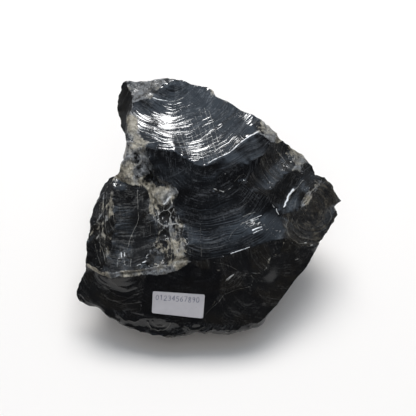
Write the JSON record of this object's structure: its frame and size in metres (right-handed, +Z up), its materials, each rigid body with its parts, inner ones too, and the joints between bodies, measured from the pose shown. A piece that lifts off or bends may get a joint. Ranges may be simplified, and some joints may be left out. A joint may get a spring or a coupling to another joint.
{
  "type": "obsidian chunk",
  "caption": "Raw chunk of black volcanic glass with conchoidal scoops, sharp ridges and a flat underside to rest on, with a small write-on paper label on its front face.",
  "frame": {"origin": "on the resting plane, under the centre of the part's bounding box", "axes": "+Z up from the flat underside, +X along the stone's longest side, -Y towards the face that carries the label"},
  "size_m": [0.201, 0.1712, 0.1326],
  "materials": {
    "volcanic_glass": "glossy black volcanic glass, greyish weathered crust and dust along broken edges",
    "label_paper": "matt white write-on paper"
  },
  "bodies": {
    "root": {"obsidian_chunk": "volcanic_glass", "paper_label": "label_paper"}
  },
  "joints": []
}
